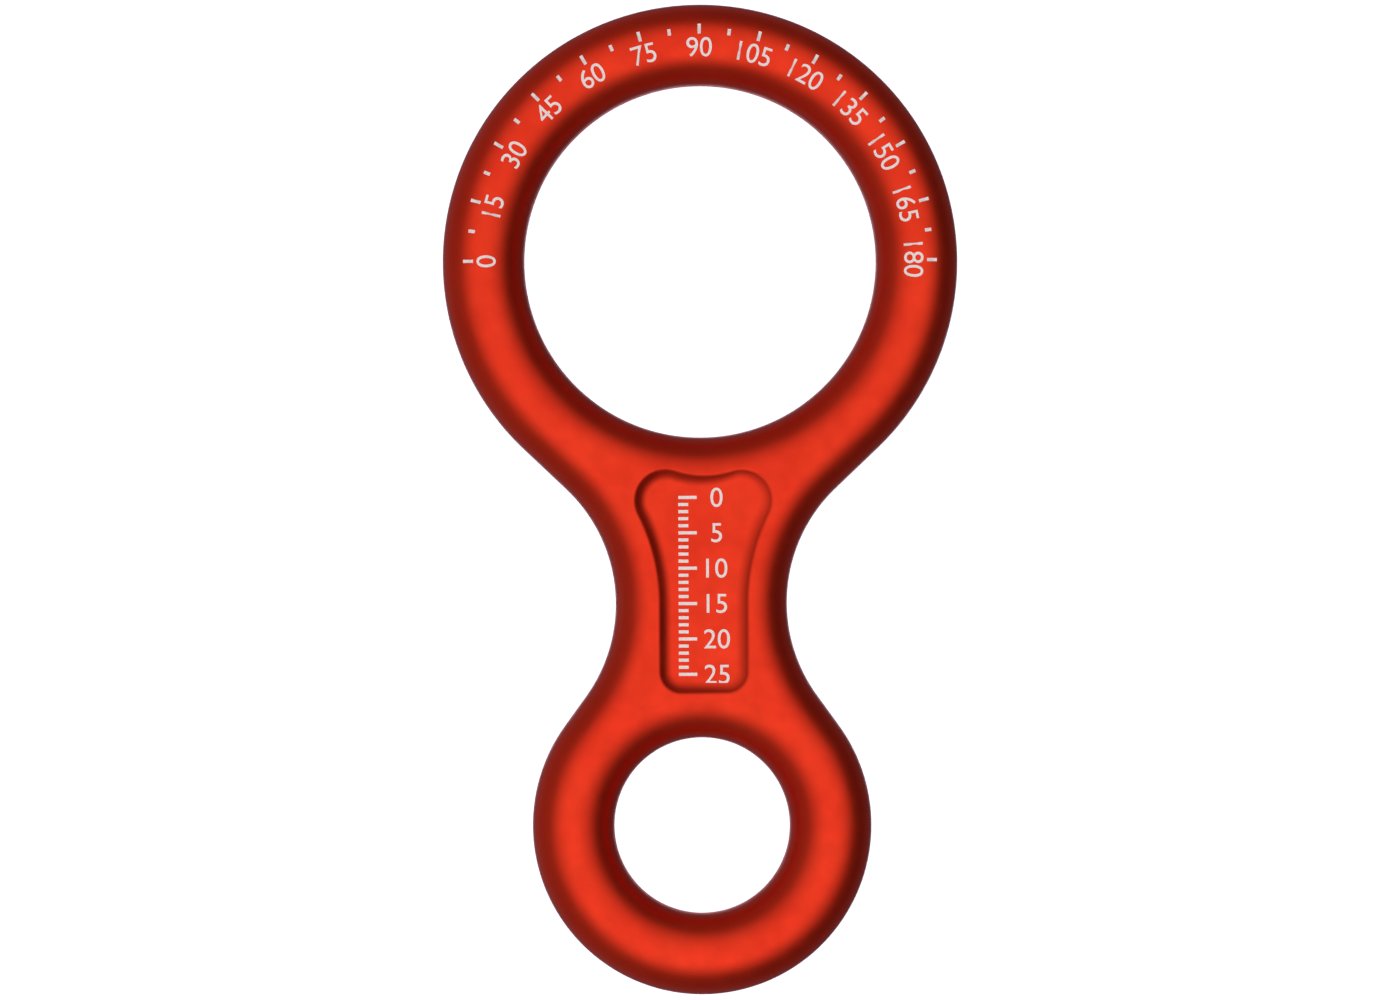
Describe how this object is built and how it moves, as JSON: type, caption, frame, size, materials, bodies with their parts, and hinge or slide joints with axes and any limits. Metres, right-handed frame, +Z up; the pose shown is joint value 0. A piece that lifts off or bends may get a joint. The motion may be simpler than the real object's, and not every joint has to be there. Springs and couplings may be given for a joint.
{
  "type": "figure eight descender",
  "caption": "Forged aluminium figure eight descender: a large ring for the rope, a small ring for the karabiner, and a pocketed neck between them.",
  "frame": {"origin": "below the middle of the length and width, on the surface that the descender lies on", "axes": "+X across the neck, +Y along the length towards the large rope ring, +Z up through both holes"},
  "size_m": [0.073, 0.1404, 0.011],
  "materials": {
    "anodised_aluminium": "blasted satin, red anodised"
  },
  "bodies": {
    "root": {"descender_body": "anodised_aluminium"}
  },
  "joints": []
}
